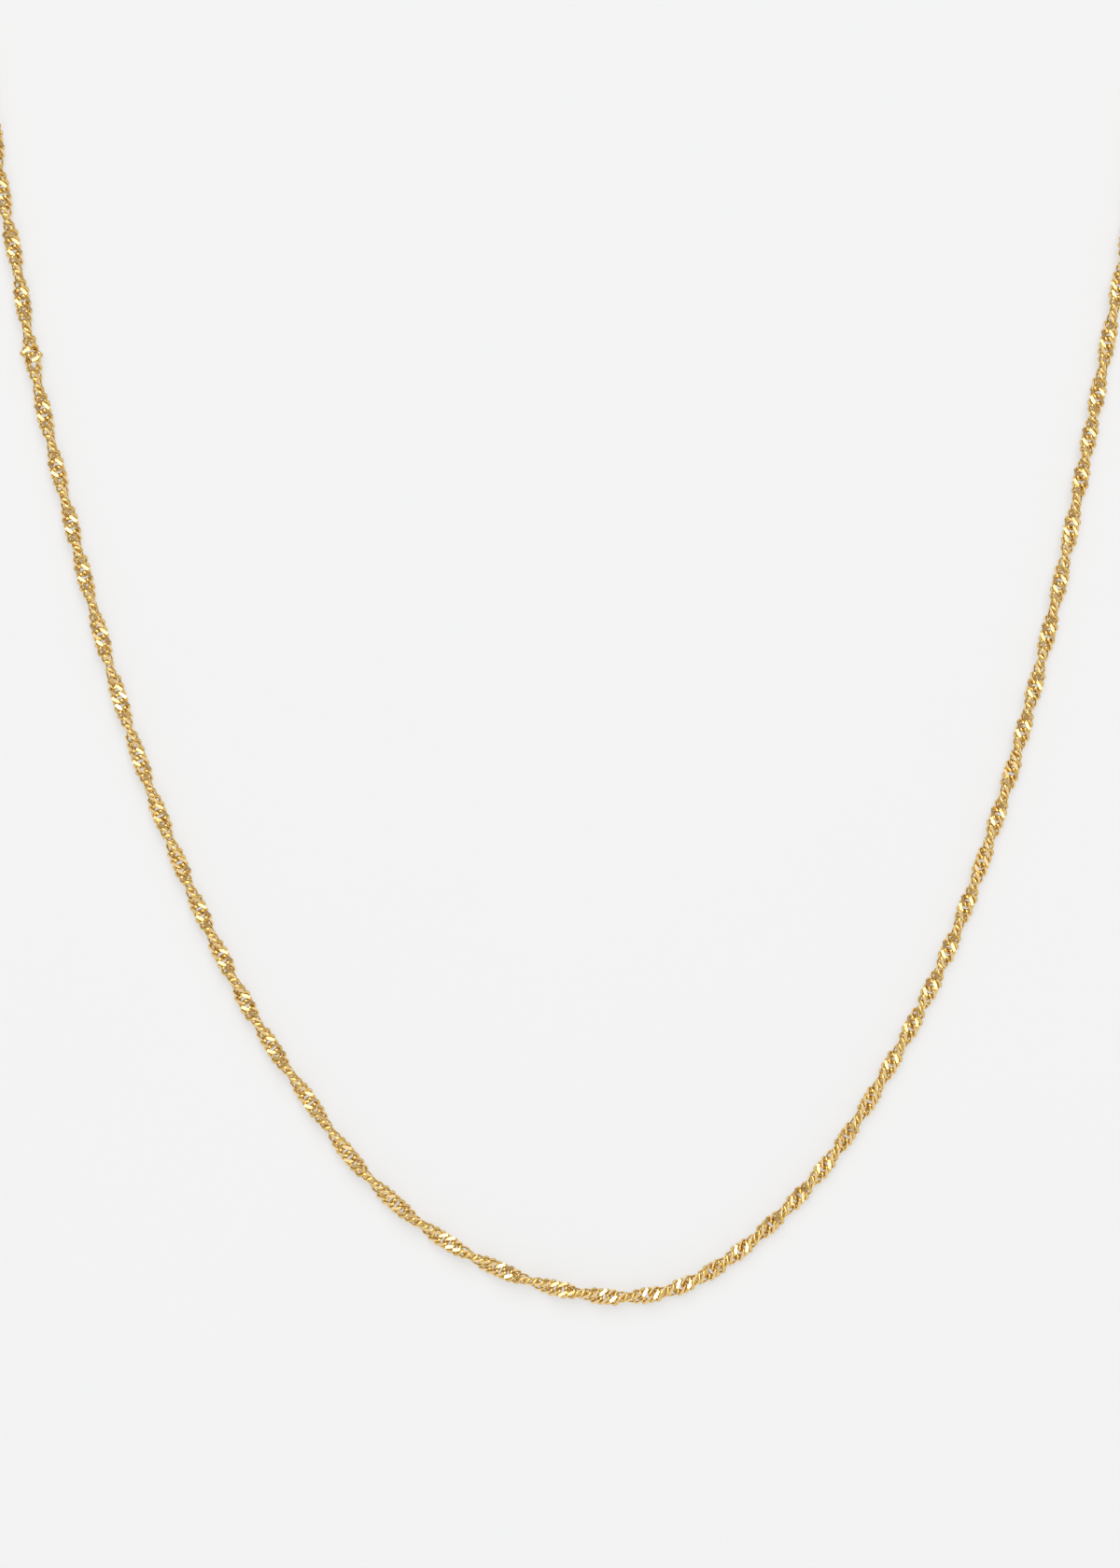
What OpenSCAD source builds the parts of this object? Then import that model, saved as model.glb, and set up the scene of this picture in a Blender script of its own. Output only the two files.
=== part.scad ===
// A fine twisted chain necklace, hanging as one whole loop in the XZ plane.
// The front hangs free as a catenary and the back follows the round of a neck.
// The origin is the point under the clasp where the loop rests on the nape.
// X runs to the right along the neck, Z points up and Y points through the loop.

/* [Necklace] */
// Length once round the whole loop, along the chain and through the clasp
necklace_length = 450; // [430:5:480]
// Width across the flat face of the twisted chain
chain_width = 1.6; // [1.2:0.1:2]

/* [Hang] */
// Radius of the curve at the very bottom, which also sets how wide the front hangs
bottom_radius = 20; // [18:0.5:22]
// How strongly the slack waves of the real chain show: 0 is a perfect curve
slack_strength = 1; // [0:0.25:1]

/* [Clasp] */
// Outer diameter of the clasp ring
clasp_diameter = 5.5; // [5:0.1:6]
// Thickness of the clasp ring
clasp_wire = 1.1; // [1:0.05:1.2]
// Outer diameter of the small eye on the clasp ring
eye_diameter = 2.6; // [2.5:0.1:3]
// Thickness of the eye
eye_wire = 0.6; // [0.5:0.05:0.6]
// Diameter of the round thumb knob on the clasp ring
knob_diameter = 0.8; // [0.6:0.1:1]

/* [End rings] */
// Outer diameter of the ring at each end of the chain
end_ring_diameter = 3.2; // [3.1:0.1:3.6]
// Thickness of the end ring's wire
end_ring_wire = 0.55; // [0.5:0.05:0.6]

/* [Gaps] */
// Gap where one ring bears on another
ring_gap = 0.1; // [0.05:0.01:0.12]
// Gap between the end of the chain and its end ring
chain_gap = 0.3; // [0.2:0.05:0.4]

/* [Hidden] */

// Rings of points along the chain's tube, and sides round it
RING_COUNT = 80;
SIDE_COUNT = 8;
// Share of even spacing in the ring places: the rest draws them closer at the bottom
EVEN_SHARE = 0.7;
// Fineness of the clasp and the end rings
ROUND = 48;

// Slack waves, a row for each: WHERE along the chain from the bottom, to the right,
// how far the wave stands OUT from the curve, and its SPREAD
slack_waves = [
  [-124, -1.10, 11],
  [-107.5, -0.38, 6],
  [-65.5, 0.40, 21],
  [-31.5, -0.30, 6],
  [-8.5, -0.55, 14.5],
  [5.5, 0.85, 7.5],
  [32.5, -0.25, 9],
  [88, -0.08, 10],
  [108, 0.25, 8],
];
WHERE = 0;
OUT = 1;
SPREAD = 2;

// Steps that halve the range in which the arms' lean is found, and that range
LEAN_STEPS = 30;
LEAN_LOW = 2;
LEAN_HIGH = 30;

// The arms lean out of the upright where the hanging curve meets the neck's round.
// A catenary whose slope there is that of the lean has this half width and length.
function inverse_sinh(value) = ln(value + sqrt(value * value + 1));
function arm_reach(lean) = bottom_radius * inverse_sinh(1 / tan(lean));
function arm_length(lean) = bottom_radius / tan(lean);
function neck_round(lean) = arm_reach(lean) / cos(lean);
function arc_length(radius, angle) = radius * angle * PI / 180;
function loop_length(lean) =
  2 * arm_length(lean) + arc_length(neck_round(lean), 180 + 2 * lean);

// The lean at which the loop has its length: a smaller lean makes it longer
function find_lean(low, high, steps) =
  let (middle = (low + high) / 2)
  steps == 0 ? middle :
  loop_length(middle) > necklace_length ? find_lean(middle, high, steps - 1) :
  find_lean(low, middle, steps - 1);

lean = find_lean(LEAN_LOW, LEAN_HIGH, LEAN_STEPS);
arm = arm_length(lean);
neck_radius = neck_round(lean);
half_loop = necklace_length / 2;

// Heights above the bottom of the curve, then the bottom's own height in the frame
arm_rise = sqrt(bottom_radius * bottom_radius + arm * arm) - bottom_radius;
neck_rise = arm_rise + neck_radius * sin(lean);
bottom_z = clasp_diameter / 2 - neck_rise - neck_radius;

// Reach of the closed clasp on each side, measured along the loop from its top
clasp_hole = clasp_diameter / 2 - clasp_wire;
eye_hole = eye_diameter / 2 - eye_wire;
end_ring_hole = end_ring_diameter / 2 - end_ring_wire;
eye_weld = clasp_wire / 3;
eye_place = (clasp_diameter + eye_diameter) / 2 - eye_weld;
right_ring_place = clasp_hole + end_ring_hole - ring_gap;
left_ring_place = eye_place + eye_hole + end_ring_hole - ring_gap;
knob_angle = 60;

// Both ends of the tube, measured along the loop from the bottom
chain_start = left_ring_place + end_ring_diameter / 2 + chain_gap - half_loop;
chain_end = half_loop - right_ring_place - end_ring_diameter / 2 - chain_gap;

function total(list, from = 0) =
  from < len(list) ? list[from] + total(list, from + 1) : 0;

// Sum of the slack waves at a place along the loop, each a bell curve
function slack(place) = slack_strength * total([
  for (wave = slack_waves)
    wave[OUT] * exp(-pow((place - wave[WHERE]) / wave[SPREAD], 2))
]);

// Point [x, z] of the plain curve on its right half, for a length up from the bottom
function arm_point(run) = [
  bottom_radius * inverse_sinh(run / bottom_radius),
  bottom_z + sqrt(bottom_radius * bottom_radius + run * run) - bottom_radius,
];
function neck_angle(run) = (run - arm) / neck_radius * 180 / PI - lean;
function neck_point(run) = [
  neck_radius * cos(neck_angle(run)),
  bottom_z + neck_rise + neck_radius * sin(neck_angle(run)),
];

// Direction that points out of the loop at the same place
function arm_outward(run) = [run, -bottom_radius] / norm([run, bottom_radius]);
function neck_outward(run) = [cos(neck_angle(run)), sin(neck_angle(run))];

function right_point(run) = run < arm ? arm_point(run) : neck_point(run);
function right_outward(run) = run < arm ? arm_outward(run) : neck_outward(run);
function mirrored(pair, place) = [place < 0 ? -pair[0] : pair[0], pair[1]];
function outward(place) = mirrored(right_outward(abs(place)), place);
function loop_point(place) =
  mirrored(right_point(abs(place)), place) + slack(place) * outward(place);

// Place of each ring of points, closer together round the bottom
function spaced(share) = EVEN_SHARE * share + (1 - EVEN_SHARE) * pow(share, 3);
function ring_place(index) =
  let (share = spaced(2 * index / (RING_COUNT - 1) - 1))
  share < 0 ? -share * chain_start : share * chain_end;

// Corners of one ring of the tube, round the curve's own point
function ring_corners(place) = [
  for (side = [0 : SIDE_COUNT - 1])
    let (
      turn = 360 * side / SIDE_COUNT,
      centre = loop_point(place),
      out = outward(place) * cos(turn) * chain_width / 2
    )
    [centre[0] + out[0], sin(turn) * chain_width / 2, centre[1] + out[1]]
];

// Two triangles between each side of a ring and the same side of the next ring
function wall_faces() = [
  for (ring = [0 : RING_COUNT - 2])
    for (side = [0 : SIDE_COUNT - 1])
      let (
        here = ring * SIDE_COUNT + side,
        beside = ring * SIDE_COUNT + (side + 1) % SIDE_COUNT,
        on = here + SIDE_COUNT,
        across = beside + SIDE_COUNT
      )
      each [[here, beside, across], [here, across, on]]
];
function start_cap() = [[for (side = [0 : SIDE_COUNT - 1]) SIDE_COUNT - 1 - side]];
function end_cap() = [[
  for (side = [0 : SIDE_COUNT - 1])
    (RING_COUNT - 1) * SIDE_COUNT + side
]];

// The tube that holds the chain's place: the real rings lie inside it
module chain() {
  color("goldenrod")
    polyhedron(
      points = [
        for (index = [0 : RING_COUNT - 1])
          each ring_corners(ring_place(index))
      ],
      faces = concat(wall_faces(), start_cap(), end_cap())
    );
}

// A round wire bent into a closed ring about the Y axis
module wire_ring(outer_diameter, wire) {
  rotate([90, 0, 0])
    rotate_extrude($fn = 2 * ROUND)
      translate([(outer_diameter - wire) / 2, 0])
        circle(d = wire, $fn = ROUND);
}

// Moves its children to a place on the neck's round, so many mm right of the top
module on_neck_round(distance) {
  turn = distance / neck_radius * 180 / PI;
  translate([0, 0, clasp_diameter / 2 - neck_radius])
    rotate([0, turn, 0])
      translate([0, 0, neck_radius])
        children();
}

// Plain ring clasp, one solid with its eye and its thumb knob
module clasp() {
  color("gold")
    on_neck_round(0) {
      wire_ring(clasp_diameter, clasp_wire);
      translate([-eye_place, 0, 0])
        wire_ring(eye_diameter, eye_wire);
      rotate([0, -knob_angle, 0])
        translate([clasp_diameter / 2, 0, 0])
          sphere(d = knob_diameter, $fn = ROUND);
    }
}

// An end ring lies across the loop, so that it links what it joins
module end_ring(distance) {
  color("gold")
    on_neck_round(distance)
      rotate([90, 0, 0])
        wire_ring(end_ring_diameter, end_ring_wire);
}

module end_ring_left() {
  end_ring(-left_ring_place);
}

module end_ring_right() {
  end_ring(right_ring_place);
}

chain();
clasp();
end_ring_left();
end_ring_right();
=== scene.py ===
# %% [markdown]
# # A twisted chain necklace
# The necklace is one loop of very small gold rings. Every ring holds the two before
# it and the two after it, which makes a dense double row, and the row is twisted all
# the way along. It hangs as a deep U in front of a pale board, carried above the
# picture. The frame comes first: the plain solids that fix each piece's place and
# size.

# %% Load the frame and keep its box
import math

import bpy
import numpy as np
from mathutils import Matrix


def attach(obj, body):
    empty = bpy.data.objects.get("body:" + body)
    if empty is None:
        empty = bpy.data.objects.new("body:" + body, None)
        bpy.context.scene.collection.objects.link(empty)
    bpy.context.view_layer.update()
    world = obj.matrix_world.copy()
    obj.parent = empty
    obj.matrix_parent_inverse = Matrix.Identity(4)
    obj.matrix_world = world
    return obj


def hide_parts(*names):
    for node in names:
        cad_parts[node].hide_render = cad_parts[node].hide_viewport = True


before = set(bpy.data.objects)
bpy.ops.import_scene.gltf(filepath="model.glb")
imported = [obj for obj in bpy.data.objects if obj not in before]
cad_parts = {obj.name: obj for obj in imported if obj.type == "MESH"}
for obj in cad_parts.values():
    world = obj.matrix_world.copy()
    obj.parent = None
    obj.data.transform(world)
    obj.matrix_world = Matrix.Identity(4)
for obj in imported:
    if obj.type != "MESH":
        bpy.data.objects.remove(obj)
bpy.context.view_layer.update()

MM = 0.001

# %% [markdown]
# ## The line in which the chain hangs
# A limp line held at two points hangs as a catenary, so that is the front. Beyond the
# picture's edge it turns into the round of a neck. The whole loop then follows from
# two sizes: its length, and the radius of the curve at the bottom. How far the arms
# lean where the two curves meet is the one unknown. A smaller lean always makes a
# longer loop, so halving a range again and again finds it.

# %% Lean of the arms
LOOP_LENGTH = 450 * MM
BOTTOM_RADIUS = 20 * MM
LEAN_RANGE = (math.radians(2), math.radians(30))
LEAN_STEPS = 40


def loop_sizes(lean):
    """Length of an arm, radius of the neck and length of the loop for one lean.

    The arm is bottom / tan(lean) long and reaches bottom * asinh(1 / tan(lean)) to
    its side. The neck's radius is that reach / cos(lean), and it covers half a turn
    and twice the lean.
    """
    arm = BOTTOM_RADIUS / math.tan(lean)
    neck = BOTTOM_RADIUS * math.asinh(1 / math.tan(lean)) / math.cos(lean)
    return arm, neck, 2 * arm + neck * (math.pi + 2 * lean)


def find_lean():
    low, high = LEAN_RANGE
    for _ in range(LEAN_STEPS):
        middle = (low + high) / 2
        if loop_sizes(middle)[2] > LOOP_LENGTH:
            low = middle
        else:
            high = middle
    return middle


LEAN = find_lean()
ARM, NECK, _ = loop_sizes(LEAN)
print(f"the arms lean {math.degrees(LEAN):.2f} degrees, neck radius {NECK / MM:.2f} mm")

# %% [markdown]
# The origin lies under the clasp at the loop's top, so heights count down from there.
# A real chain is never a perfect curve: here and there it stands a little in or out.
# Each such slack wave is a bell curve with a place along the chain, a height and a
# spread. The plain tube in the frame follows the same rows. Five of the rows are a fit
# to the picture's line, rounded, one more keeps the fit's place, and three were set
# one by one.

# %% The route as a function of length from the bottom
CLASP_DIAMETER = 5.5 * MM
ARM_RISE = math.hypot(BOTTOM_RADIUS, ARM) - BOTTOM_RADIUS
NECK_RISE = ARM_RISE + NECK * math.sin(LEAN)
BOTTOM_Z = CLASP_DIAMETER / 2 - NECK_RISE - NECK

# place along the chain from the bottom, height outwards and spread, in mm
SLACK_WAVES = np.array([
    (-124, -1.10, 11),
    (-107.5, -0.38, 6),
    (-65.5, 0.40, 21),
    (-31.5, -0.30, 6),
    (-8.5, -0.55, 14.5),
    (5.5, 0.85, 7.5),
    (32.5, -0.25, 9),
    (88, -0.08, 10),
    (108, 0.25, 8),
]) * MM


def route(place):
    """Points (x, z) of the chain's middle line at places along it, 0 at the bottom.

    On an arm, x is r * asinh(s / r) and the rise is hypot(r, s) - r. On the neck the
    point turns about the neck's middle. The sum of the bells moves it outwards.
    """
    run = np.abs(place)
    side = np.where(place < 0, -1.0, 1.0)
    on_arm = run < ARM
    angle = (run - ARM) / NECK - LEAN
    reach = np.hypot(run, BOTTOM_RADIUS)
    x = np.where(on_arm, BOTTOM_RADIUS * np.arcsinh(run / BOTTOM_RADIUS), NECK * np.cos(angle))
    rise = np.where(on_arm, reach - BOTTOM_RADIUS, NECK_RISE + NECK * np.sin(angle))
    out_x = np.where(on_arm, run / reach, np.cos(angle))
    out_z = np.where(on_arm, -BOTTOM_RADIUS / reach, np.sin(angle))
    where, height, spread = SLACK_WAVES.T
    bells = height * np.exp(-(((place[..., None] - where) / spread) ** 2))
    slack = bells.sum(-1)
    return np.stack([side * (x + slack * out_x), BOTTOM_Z + rise + slack * out_z], -1)


print(f"the bottom of the curve is {-BOTTOM_Z / MM:.2f} mm below the clasp")

# %% [markdown]
# ## The camera
# The camera looks straight at the hanging loop through a long lens, and is turned by
# less than two degrees, as the picture is. One pixel of its 1200 by 1680 is 0.08 mm at
# the chain. Its middle lies a little left of the loop's middle and well above the
# bottom. Blender's camera looks along its own -Z. A quarter turn about X lifts its view
# to the horizon, and the small turn about Y is the picture's own. The sensor's width
# goes along the picture's longer side, which sets the distance.

# %% Camera at the picture's angle
PIXEL = 0.08 * MM
PIXELS_HIGH = 1680
PICTURE_HEIGHT = PIXELS_HIGH * PIXEL
PICTURE_TURN = math.radians(1.788)
PICTURE_MIDDLE = (-2.12 * MM, BOTTOM_Z + 43.84 * MM)
LENS = 120
SENSOR = 36
# nearest point that the camera draws, as a share of its distance
NEAREST = 0.01


def set_camera():
    data = bpy.data.cameras.new("picture_camera")
    data.lens = LENS
    data.sensor_width = SENSOR
    distance = PICTURE_HEIGHT * LENS / SENSOR
    data.clip_start = NEAREST * distance
    camera = bpy.data.objects.new("picture_camera", data)
    camera.location = (PICTURE_MIDDLE[0], -distance, PICTURE_MIDDLE[1])
    camera.rotation_euler = (math.pi / 2, PICTURE_TURN, 0)
    bpy.context.scene.collection.objects.link(camera)
    bpy.context.scene.camera = camera
    return distance


print(f"the camera stands {set_camera() / MM:.0f} mm in front of the chain")

# %% [markdown]
# ## Meshes from whole arrays
# Every piece is a surface on a grid of points: one direction runs along the piece, the
# other round it or across it. One helper joins any number of such grids into a mesh.
# Each face has four corners: a point, the next one along, the next one round, and the
# one that is next both ways. In a closed direction the last row is joined to the
# first, so no seam stays open.

# %% Grid helper


def grid_mesh(name, points, closed=(True, True), flat=None):
    """Mesh of grids. points has the shape (grids, along, round, 3), in metres.

    Face (i, j) has the corners (i, j), (i + 1, j), (i + 1, j + 1), (i, j + 1). flat
    marks the faces that are flat facets, and is kept as the face attribute "cut".
    """
    grids, along, across = points.shape[:3]
    index = np.arange(grids * along * across).reshape(grids, along, across)
    after = np.roll(index, -1, axis=1)
    faces = np.stack([index, after, np.roll(after, -1, axis=2), np.roll(index, -1, axis=2)], -1)
    kept = faces[:, : along if closed[0] else along - 1, : across if closed[1] else across - 1]
    count = kept.size // 4
    mesh = bpy.data.meshes.new(name)
    mesh.vertices.add(index.size)
    mesh.vertices.foreach_set("co", points.ravel())
    mesh.loops.add(kept.size)
    mesh.loops.foreach_set("vertex_index", kept.ravel())
    mesh.polygons.add(count)
    mesh.polygons.foreach_set("loop_start", np.arange(count) * 4)
    mesh.update(calc_edges=True)
    facet = np.zeros(count, bool) if flat is None else flat.ravel()
    mesh.polygons.foreach_set("use_smooth", ~facet)
    mark = mesh.attributes.new("cut", "FLOAT", "FACE")
    mark.data.foreach_set("value", facet.astype(np.float32))
    mesh.validate()
    piece = bpy.data.objects.new(name, mesh)
    bpy.context.scene.collection.objects.link(piece)
    print(name, "has", count, "faces")
    return piece


# %% [markdown]
# ## Board, floor and light
# Behind the chain stands a smooth white board that curves into a pale floor. Near its
# top it leans back a little, because the clasp's end rings lie across the loop and
# need the room. The board is white on its front alone. From behind it is clear, so
# the necklace can be looked at from the back too.

# %% Backdrop as one profile drawn out sideways
BOARD_GAP = 0.9 * MM
LEAN_BACK = 2.6 * MM
LEAN_FROM = -60 * MM
LEAN_TO = -4 * MM
BOARD_TOP = 300 * MM
FLOOR_Z = -255 * MM
COVE_RADIUS = 40 * MM
FLOOR_REACH = 700 * MM
BACKDROP_HALF = 700 * MM
COVE_STEPS = 13
BOARD_STEPS = 25


def backdrop_profile():
    """Points (y, z) from the board's top, down, round a quarter circle, forwards.

    The board leans back by LEAN_BACK * s^2 (3 - 2 s), with s from 0 at LEAN_FROM to
    1 at LEAN_TO.
    """
    height = np.linspace(BOARD_TOP, FLOOR_Z + COVE_RADIUS, BOARD_STEPS)
    share = np.clip((height - LEAN_FROM) / (LEAN_TO - LEAN_FROM), 0, 1)
    board = np.stack([BOARD_GAP + LEAN_BACK * share**2 * (3 - 2 * share), height], -1)
    turn = np.linspace(0, math.pi / 2, COVE_STEPS)[1:]
    cove = np.stack([
        BOARD_GAP - COVE_RADIUS * (1 - np.cos(turn)),
        FLOOR_Z + COVE_RADIUS * (1 - np.sin(turn)),
    ], -1)
    return np.concatenate([board, cove, [(BOARD_GAP - FLOOR_REACH, FLOOR_Z)]])


profile = backdrop_profile()
sides = np.array([BACKDROP_HALF, -BACKDROP_HALF])
sheet = np.empty((1, 2, len(profile), 3))
sheet[0, :, :, 0] = sides[:, None]
sheet[0, :, :, 1:] = profile
backdrop = grid_mesh("backdrop", sheet, closed=(False, False))

# %% [markdown]
# The picture's white is even to the edges, and the shadow is faint and close. A
# light box does that: about half of the board's white is its own glow, and the rest
# is light that falls on it. A slow noise keeps the white from being quite flat. A
# Geometry node tells front from back.

# %% Finish of the backdrop
BOARD_WHITE = 0.37
BOARD_GLOW = 0.486
GLOW_COLOUR = (1, 1, 1, 1)
BOARD_ROUGHNESS = 0.9
BOARD_MOTTLE = 0.004
MOTTLE_SCALE = 40


def finish_backdrop():
    material = bpy.data.materials.new("board_white")
    material.use_nodes = True
    nodes, links = material.node_tree.nodes, material.node_tree.links
    paint = nodes["Principled BSDF"]
    paint.inputs["Roughness"].default_value = BOARD_ROUGHNESS
    paint.inputs["Specular IOR Level"].default_value = 0
    paint.inputs["Emission Color"].default_value = GLOW_COLOUR
    paint.inputs["Emission Strength"].default_value = BOARD_GLOW
    place = nodes.new("ShaderNodeTexCoord")
    mottle = nodes.new("ShaderNodeTexNoise")
    mottle.inputs["Scale"].default_value = MOTTLE_SCALE
    links.new(place.outputs["Object"], mottle.inputs["Vector"])
    tone = nodes.new("ShaderNodeMapRange")
    tone.inputs["To Min"].default_value = BOARD_WHITE - BOARD_MOTTLE
    tone.inputs["To Max"].default_value = BOARD_WHITE + BOARD_MOTTLE
    links.new(mottle.outputs["Fac"], tone.inputs["Value"])
    links.new(tone.outputs["Result"], paint.inputs["Base Color"])
    clear = nodes.new("ShaderNodeBsdfTransparent")
    facing = nodes.new("ShaderNodeNewGeometry")
    choice = nodes.new("ShaderNodeMixShader")
    links.new(facing.outputs["Backfacing"], choice.inputs["Fac"])
    links.new(paint.outputs["BSDF"], choice.inputs[1])
    links.new(clear.outputs["BSDF"], choice.inputs[2])
    links.new(choice.outputs["Shader"], nodes["Material Output"].inputs["Surface"])
    backdrop.data.materials.append(material)


finish_backdrop()

# %% [markdown]
# Polished gold shows its surroundings, so the lights are chosen for what the facets
# mirror. A wide round light round the camera turns a facet pale when it faces the
# viewer, and its neighbours show the dim, warm room. A smaller light higher up draws
# the fine lines on the wires and the soft shadow. The two overlap by less than a third
# of the smaller one's width. Both are cooler than the room, and together with it they
# leave the board neutral. Lights at a great distance (Blender's SUN) fall evenly on
# the board, and their angle makes them as soft as a softbox.

# %% Lights
# name, degrees up, degrees to the right, half angle, and how bright it makes a plain
# white sheet that faces it
LIGHTS = [
    ("front_light", -2, 0, 31, 0.42),
    ("upper_light", 38, 5, 22, 0.39),
]
LIGHT_COLOUR = (0.975, 1.026, 1.076)
SURROUNDINGS = 0.37
ROOM_COLOUR = (1, 0.89, 0.78, 1)


def set_lights():
    for name, up, right, half_angle, level in LIGHTS:
        data = bpy.data.lights.new(name, "SUN")
        data.angle = 2 * math.radians(half_angle)
        data.energy = level * math.pi
        data.color = LIGHT_COLOUR
        lamp = bpy.data.objects.new(name, data)
        lamp.rotation_euler = (math.radians(90 - up), 0, math.radians(right))
        bpy.context.scene.collection.objects.link(lamp)
    room = bpy.data.worlds.new("room")
    room.use_nodes = True
    glow = room.node_tree.nodes["Background"]
    glow.inputs["Color"].default_value = ROOM_COLOUR
    glow.inputs["Strength"].default_value = SURROUNDINGS
    bpy.context.scene.world = room
    bpy.context.scene.view_settings.view_transform = "Standard"


set_lights()
print(len(LIGHTS), "lights and a dim room")

# %% [markdown]
# ## Where the rings go
# The even rings form one chain: each hooks into the next with its wire, so the pitch
# is a ring's outer length less two wires and a little play. The odd rings lie half a
# pitch on and hold the even ones, with none in the first and the last gap. The first
# and last ring go through the end rings of the clasp, so the space between those two
# fixes the pitch.

# %% Places of the rings along the loop
RING_WIDTH = 1.35 * MM
WIRE = 0.28 * MM
EVEN_RINGS = 308
PLAY = 0.004 * MM
END_PLAY = 0.02 * MM
CLASP_WIRE = 1.1 * MM
EYE_DIAMETER = 2.6 * MM
EYE_WIRE = 0.6 * MM
END_RING_DIAMETER = 3.2 * MM
END_RING_WIRE = 0.55 * MM
RING_GAP = 0.1 * MM
EYE_WELD = CLASP_WIRE / 3
EYE_PLACE = (CLASP_DIAMETER + EYE_DIAMETER) / 2 - EYE_WELD
LEFT_HOLES = (EYE_DIAMETER + END_RING_DIAMETER) / 2 - EYE_WIRE - END_RING_WIRE
RIGHT_HOLES = (CLASP_DIAMETER + END_RING_DIAMETER) / 2 - CLASP_WIRE - END_RING_WIRE
HOLD = END_RING_DIAMETER / 2 - END_RING_WIRE - WIRE / 2 - END_PLAY
left_hook = EYE_PLACE + LEFT_HOLES - RING_GAP + HOLD - LOOP_LENGTH / 2
right_hook = LOOP_LENGTH / 2 - (RIGHT_HOLES - RING_GAP + HOLD)
PITCH = (right_hook - left_hook - WIRE) / EVEN_RINGS
HALF_LENGTH = (PITCH + WIRE) / 2 + PLAY
HALF_WIDTH = (RING_WIDTH - WIRE) / 2
even_places = left_hook + (PITCH + WIRE) / 2 + PITCH * np.arange(EVEN_RINGS)
odd_places = even_places[1:-2] + PITCH / 2
places = np.sort(np.concatenate([even_places, odd_places]))
RINGS = len(places)
print(RINGS, f"rings with a pitch of {PITCH / MM:.3f} mm")

# %% [markdown]
# ## The twist
# The row of rings turns left-handed, with a half turn every 3 to 6 mm. Each half turn
# shows as one lobe: broad where the rings face us, narrow where they stand on edge.
# The twist is loosest left of the bottom and tightest just right of it. The rows below
# count half turns at some places, and between them it is even. They were thinned out
# from a list of lobes measured in the picture, and moved by tenths of a millimetre
# between renders. A short weighted average takes the corners out. Outside the picture
# the count is a guess, such that both ends stop face on and the end rings pass
# straight through.

# %% Angle and rate of the twist at each ring
# place along the chain in mm, half turns from the left end
HALF_TURNS = np.array([
    (-109.7, 24),
    (-95.1, 27),
    (-85, 29),
    (-81, 30),
    (-64.2, 33),
    (-59.2, 34),
    (-50.3, 36),
    (-37.2, 39),
    (-20, 42),
    (-3.7, 45),
    (4, 47),
    (12.5, 50),
    (25.9, 54),
    (44.2, 59),
    (52.3, 61),
    (60.3, 63),
    (67.9, 65),
    (86.3, 69),
    (93.3, 71),
    (103, 73),
])
LAST_HALF_TURN = 100
FINE_STEPS = 8000
EASE = 2 * MM


def twist_along():
    """Angle of each ring, and how fast the angle grows along the chain there.

    Angle = -pi * half turns, averaged with a raised cosine of EASE each way.
    """
    fine = np.linspace(places[0], places[-1], FINE_STEPS)
    step = fine[1] - fine[0]
    row_place = np.concatenate([[places[0]], HALF_TURNS[:, 0] * MM, [places[-1]]])
    row_count = np.concatenate([[0], HALF_TURNS[:, 1], [LAST_HALF_TURN]])
    reach = round(EASE / step)
    count = np.pad(np.interp(fine, row_place, row_count), reach, "reflect", reflect_type="odd")
    weight = np.hanning(2 * reach + 1)
    angle = -math.pi * np.convolve(count, weight / weight.sum(), "valid")
    return np.interp(places, fine, angle), np.interp(places, fine, np.gradient(angle, step))


turn, twist_rate = twist_along()
print(f"half turn every {-math.pi / twist_rate.min() / MM:.1f}", end=" ")
print(f"to {-math.pi / twist_rate.max() / MM:.1f} mm")

# %% [markdown]
# ## One ring
# Seen from the front a ring is an oval. Seen from the side it is a saddle: two
# opposite quarters of the wire rise and the other two fall, so it can pass over one
# neighbour and under the next. Its crests are flattened, which leaves room for long
# facets. Each ring is also turned a little within itself, as the whole row is.

# %% Middle line of the wire in each ring
# corners of the wire in a quarter of the ring, in degrees from its long axis: few on
# the crest, close together where the wire dives
QUARTER = np.array([5, 15, 36, 54, 75, 85])
SADDLE = 0.3 * MM
CREST_ROUND = 0.5
POINTED = 1.05
RING_TWIST = 1.2
quarter = np.radians(QUARTER)
corner_angles = np.concatenate([
    quarter,
    math.pi - quarter[::-1],
    math.pi + quarter,
    2 * math.pi - quarter[::-1],
])


def ring_lines(rate):
    """Lines (rings, steps, 3) in the rings' own frames, x along the chain.

    x = a cos t, y = b sin t and z = -c sin 2t, turned about x by an angle of
    RING_TWIST * rate * x. A power just over 1 on the cosine and sine makes the oval
    more pointed. Then each height z is flattened towards the highest, H, as
    H f(z / H) with f(s) = s sqrt(1 + h^2) / sqrt(s^2 + h^2).
    """
    cosine, sine = np.cos(corner_angles), np.sin(corner_angles)
    x = HALF_LENGTH * np.sign(cosine) * np.abs(cosine) ** POINTED
    y = HALF_WIDTH * np.sign(sine) * np.abs(sine) ** POINTED
    z = -SADDLE * np.sin(2 * corner_angles)
    angle = RING_TWIST * rate[:, None] * x
    across = y * np.cos(angle) - z * np.sin(angle)
    rise = y * np.sin(angle) + z * np.cos(angle)
    highest = np.abs(rise).max(axis=1, keepdims=True)
    share = rise / highest
    rise = highest * share * math.hypot(1, CREST_ROUND) / np.hypot(share, CREST_ROUND)
    return np.stack([np.broadcast_to(x, angle.shape), across, rise], -1)


lines = ring_lines(twist_rate)
print(f"crests stand {np.ptp(lines[0, :, 2]) / 2 / MM:.2f} mm from a ring's middle plane")

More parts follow.
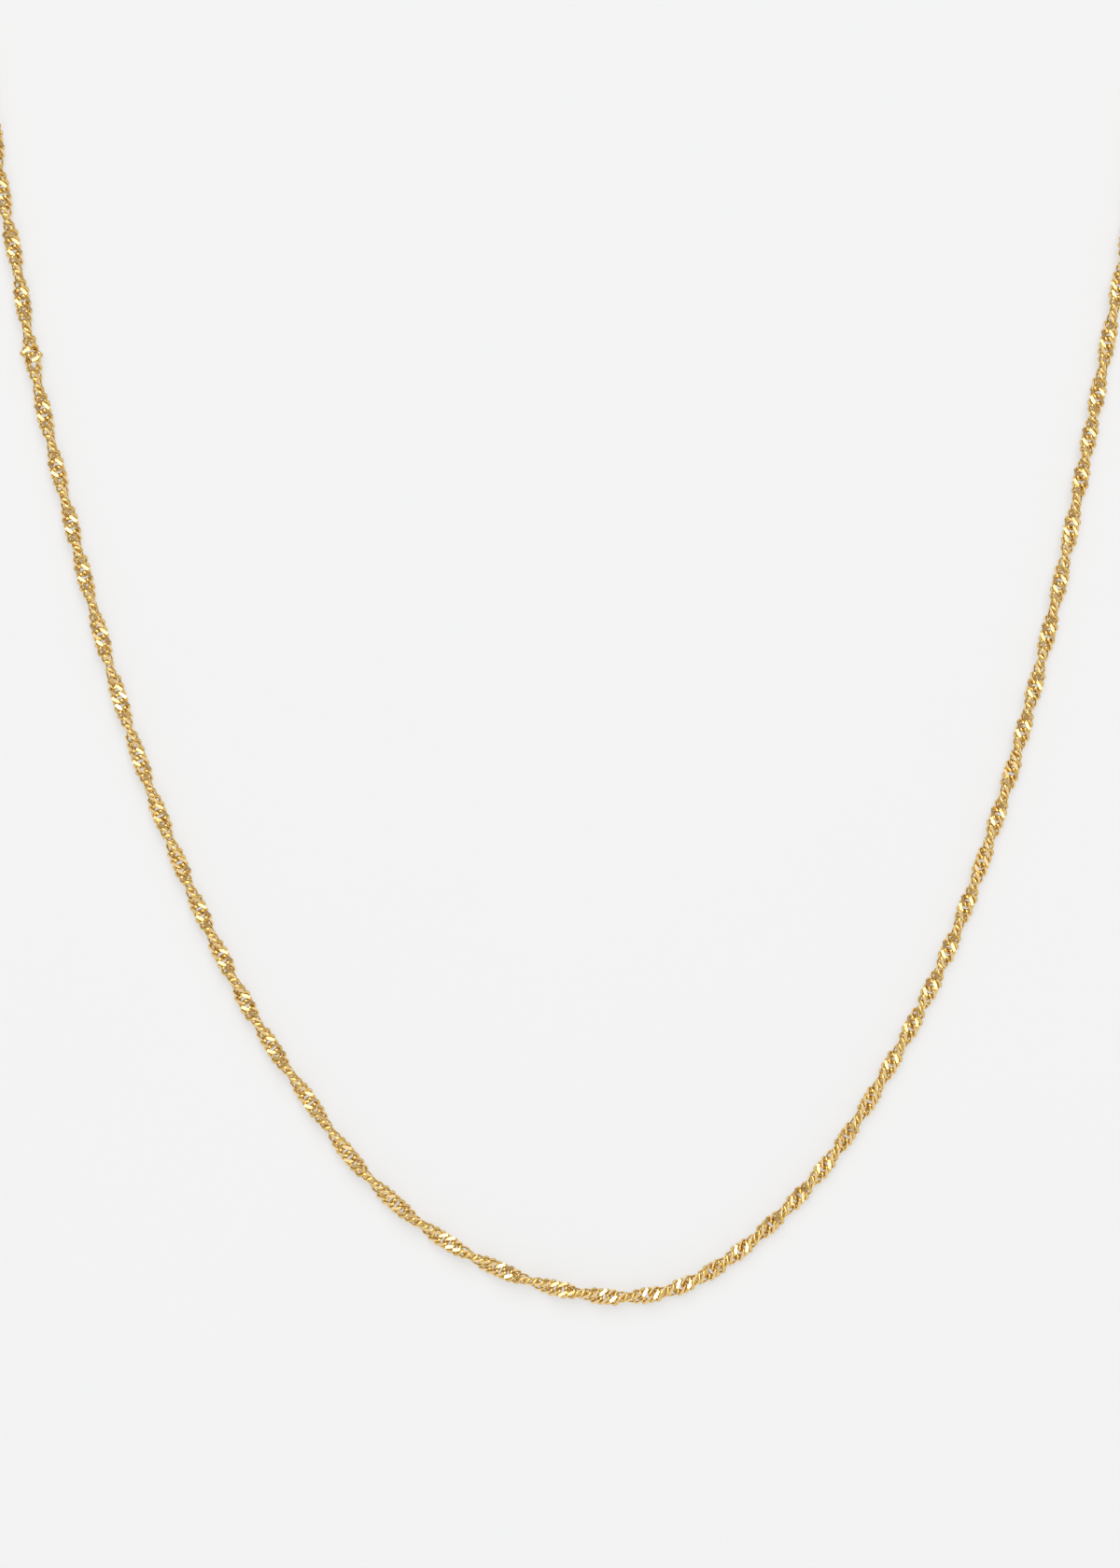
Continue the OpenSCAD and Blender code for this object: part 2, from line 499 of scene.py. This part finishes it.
# %% [markdown]
# The wire is round. Here it has four sides, because a shape that is repeated hundreds
# of times has to stay small, and smooth shading rounds them for the eye. Its corners
# reach out a little past the round wire, so that the bar is as thick to look at. Most
# neighbouring wires cut into each other a little where they cross. At each step along
# the ring one direction points out of the ring and the other is square to it and to
# the wire. A circle in those two makes the surface.

# %% Wire round the lines
WIRE_SIDES = 4
CORNER_REACH = 1.22


def unit(vectors):
    """Each vector divided by its own length."""
    return vectors / np.linalg.norm(vectors, axis=-1, keepdims=True)


def wire_round(line, radius):
    """point = line + radius * (cos p * out + sin p * up), for p once round."""
    along = unit(np.roll(line, -1, axis=-2) - np.roll(line, 1, axis=-2))
    level = line * np.array([1.0, 1.0, 0.0])
    out = unit(level - (level * along).sum(-1, keepdims=True) * along)
    up = np.cross(out, along)
    p = (np.arange(WIRE_SIDES) + 0.5) / WIRE_SIDES * 2 * math.pi
    circle = np.cos(p)[:, None] * out[..., None, :] + np.sin(p)[:, None] * up[..., None, :]
    return line[..., None, :] + radius * circle


surface = wire_round(lines, CORNER_REACH * WIRE / 2)
print("one ring has", len(corner_angles) * WIRE_SIDES, "faces")

# %% [markdown]
# ## Diamond cutting
# After the chain is made, a diamond tool planes its crests flat, and those facets are
# what flashes. On the mesh it is simple: every point above a level is pressed down
# to it, on both faces of the ring. Where all corners of a face end on the level, the
# face is a facet. It gets flat shading and a mark that the finish reads. The level
# varies a little from ring to ring, as the tool's depth does.

# %% Cut the facets
CUT_DEPTH = 0.14 * MM
CUT_SPREAD = 0.03 * MM
SEED = 11
dice = np.random.default_rng(SEED)


def cut_facets(points):
    """Points with |z| held to the level, and the faces that lie on it.

    The level lies CUT_DEPTH and up to CUT_SPREAD more under the ring's highest point.
    """
    height = points[..., 2]
    depth = CUT_DEPTH + CUT_SPREAD * dice.uniform(0, 1, RINGS)
    limit = (np.abs(height).max(axis=(1, 2)) - depth)[:, None, None]
    pressed = (np.abs(height) > limit) * np.sign(height)
    points[..., 2] = np.clip(height, -limit, limit)
    corners = pressed + np.roll(pressed, -1, axis=1)
    corners = corners + np.roll(corners, -1, axis=2)
    return points, np.abs(corners) == 4


surface, facets = cut_facets(surface)
print(f"{facets.sum() / RINGS:.1f} faces of each ring belong to facets")

# %% [markdown]
# ## Setting the rings in the row
# No ring sits quite as the next one does, so each gets a slight tilt and shift of its
# own. High on the left one ring has turned across the chain and made a small knot.
# Then each ring is turned by the twist at its place and set on the route. The whole
# row lies a trace outside it, which puts it on the picture's line.

# %% Tilt, knot and place
TILT = math.radians(3)
SHIFT = 0.012 * MM
OUTWARDS = 0.05 * MM
KNOT_PLACE = -100.3 * MM
KNOT_TURN = math.radians(75)


def turned(points, axis, angle):
    """Points turned about one of their own axes by an angle for each ring."""
    first, second = ((1, 2), (2, 0), (0, 1))[axis]
    cosine = np.cos(angle)[:, None, None]
    sine = np.sin(angle)[:, None, None]
    result = points.copy()
    result[..., first] = points[..., first] * cosine - points[..., second] * sine
    result[..., second] = points[..., first] * sine + points[..., second] * cosine
    return result


def set_in_row(points):
    """world = route + x * tangent + across * inwards - towards * y axis."""
    knot = np.zeros(RINGS)
    knot[np.argmin(np.abs(places - KNOT_PLACE))] = KNOT_TURN
    points = turned(points, 2, knot + TILT * dice.normal(size=RINGS))
    points = turned(points, 1, TILT * dice.normal(size=RINGS))
    points = turned(points, 0, turn + TILT * dice.normal(size=RINGS))
    points = points + SHIFT * dice.uniform(-1, 1, (RINGS, 1, 1, 3))
    middle = route(places)
    ahead = unit(route(places + PITCH / 4) - route(places - PITCH / 4))
    ahead_x, ahead_z = ahead[:, 0, None, None], ahead[:, 1, None, None]
    x, across, towards = points[..., 0], points[..., 1] - OUTWARDS, points[..., 2]
    return np.stack([
        middle[:, 0, None, None] + x * ahead_x - across * ahead_z,
        -towards,
        middle[:, 1, None, None] + x * ahead_z + across * ahead_x,
    ], -1)


twisted_chain = grid_mesh("twisted_chain", set_in_row(surface), flat=facets)
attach(twisted_chain, "root")
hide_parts("chain")

# %% [markdown]
# ## Gold
# Yellow gold is a metal with a warm tint in its reflections. Cast and drawn wire is
# not a perfect mirror: its polish varies from place to place and skin contact dulls
# it in patches. A slow noise mixes two tints, a fine one moves the roughness and
# lifts the surface by a trace. The diamond-cut facets have none of this grain. They
# are painted a paler gold, a painted highlight that makes their flash read cream. On
# the chain their one roughness is a little above the wire's, which blends what they
# mirror.

# %% Gold finish
LIGHT_GOLD = (0.94, 0.69, 0.27, 1)
DEEP_GOLD = (0.85, 0.565, 0.16, 1)
# paler gold on the facets: a painted highlight, so that their flash reads cream
PAINTED_HIGHLIGHT_GOLD = (0.96, 0.715, 0.35, 1)
PATCH_SCALE = 900
PATCH_DETAIL = 3
GRAIN_SCALE = 9000
GRAIN_DETAIL = 4
POLISH_SPREAD = 0.4
GRAIN_HEIGHT = 0.01 * MM


def gold(name, rough, facet_rough, lift):
    """Gold in two tints, and a paler painted highlight on the faces marked "cut".

    Off the facets the roughness lies within rough * (1 - POLISH_SPREAD) and
    rough * (1 + POLISH_SPREAD), and lift is the strength of the grain's bump.
    """
    material = bpy.data.materials.new(name)
    material.use_nodes = True
    nodes, links = material.node_tree.nodes, material.node_tree.links
    metal = nodes["Principled BSDF"]
    metal.inputs["Metallic"].default_value = 1
    place = nodes.new("ShaderNodeTexCoord")
    patches = nodes.new("ShaderNodeTexNoise")
    patches.inputs["Scale"].default_value = PATCH_SCALE
    patches.inputs["Detail"].default_value = PATCH_DETAIL
    links.new(place.outputs["Object"], patches.inputs["Vector"])
    tint = nodes.new("ShaderNodeMix")
    tint.data_type = "RGBA"
    tint.inputs["A"].default_value = LIGHT_GOLD
    tint.inputs["B"].default_value = DEEP_GOLD
    links.new(patches.outputs["Fac"], tint.inputs["Factor"])
    mark = nodes.new("ShaderNodeAttribute")
    mark.attribute_name = "cut"
    # painted highlight: the faces marked cut get the paler gold
    highlight_tint = nodes.new("ShaderNodeMix")
    highlight_tint.data_type = "RGBA"
    highlight_tint.inputs["B"].default_value = PAINTED_HIGHLIGHT_GOLD
    links.new(mark.outputs["Fac"], highlight_tint.inputs["Factor"])
    links.new(tint.outputs["Result"], highlight_tint.inputs["A"])
    links.new(highlight_tint.outputs["Result"], metal.inputs["Base Color"])
    grain = nodes.new("ShaderNodeTexNoise")
    grain.inputs["Scale"].default_value = GRAIN_SCALE
    grain.inputs["Detail"].default_value = GRAIN_DETAIL
    links.new(place.outputs["Object"], grain.inputs["Vector"])
    polish = nodes.new("ShaderNodeMapRange")
    polish.inputs["To Min"].default_value = rough * (1 - POLISH_SPREAD)
    polish.inputs["To Max"].default_value = rough * (1 + POLISH_SPREAD)
    links.new(grain.outputs["Fac"], polish.inputs["Value"])
    choice = nodes.new("ShaderNodeMix")
    choice.inputs["B"].default_value = facet_rough
    links.new(mark.outputs["Fac"], choice.inputs["Factor"])
    links.new(polish.outputs["Result"], choice.inputs["A"])
    links.new(choice.outputs["Result"], metal.inputs["Roughness"])
    bump = nodes.new("ShaderNodeBump")
    strength = nodes.new("ShaderNodeMapRange")
    strength.inputs["To Min"].default_value = lift
    strength.inputs["To Max"].default_value = 0
    links.new(mark.outputs["Fac"], strength.inputs["Value"])
    links.new(strength.outputs["Result"], bump.inputs["Strength"])
    bump.inputs["Distance"].default_value = GRAIN_HEIGHT
    links.new(grain.outputs["Fac"], bump.inputs["Height"])
    links.new(bump.outputs["Normal"], metal.inputs["Normal"])
    return material


chain_gold = gold("polished_chain_gold", rough=0.16, facet_rough=0.25, lift=0.25)
twisted_chain.data.materials.append(chain_gold)

# %% [markdown]
# ## Clasp and end rings
# A plain ring clasp closes the loop behind the neck, and a plain wire ring joins each
# end of the chain to it. Their shapes in the frame are right, so they stay and get
# the same gold, a little more worn because fingers open the clasp every day.

# %% Finish of the fittings
fitting_gold = gold("worn_fitting_gold", rough=0.24, facet_rough=0.24, lift=0.5)
for name in ("clasp", "end_ring_left", "end_ring_right"):
    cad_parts[name].material_slots[0].material = fitting_gold
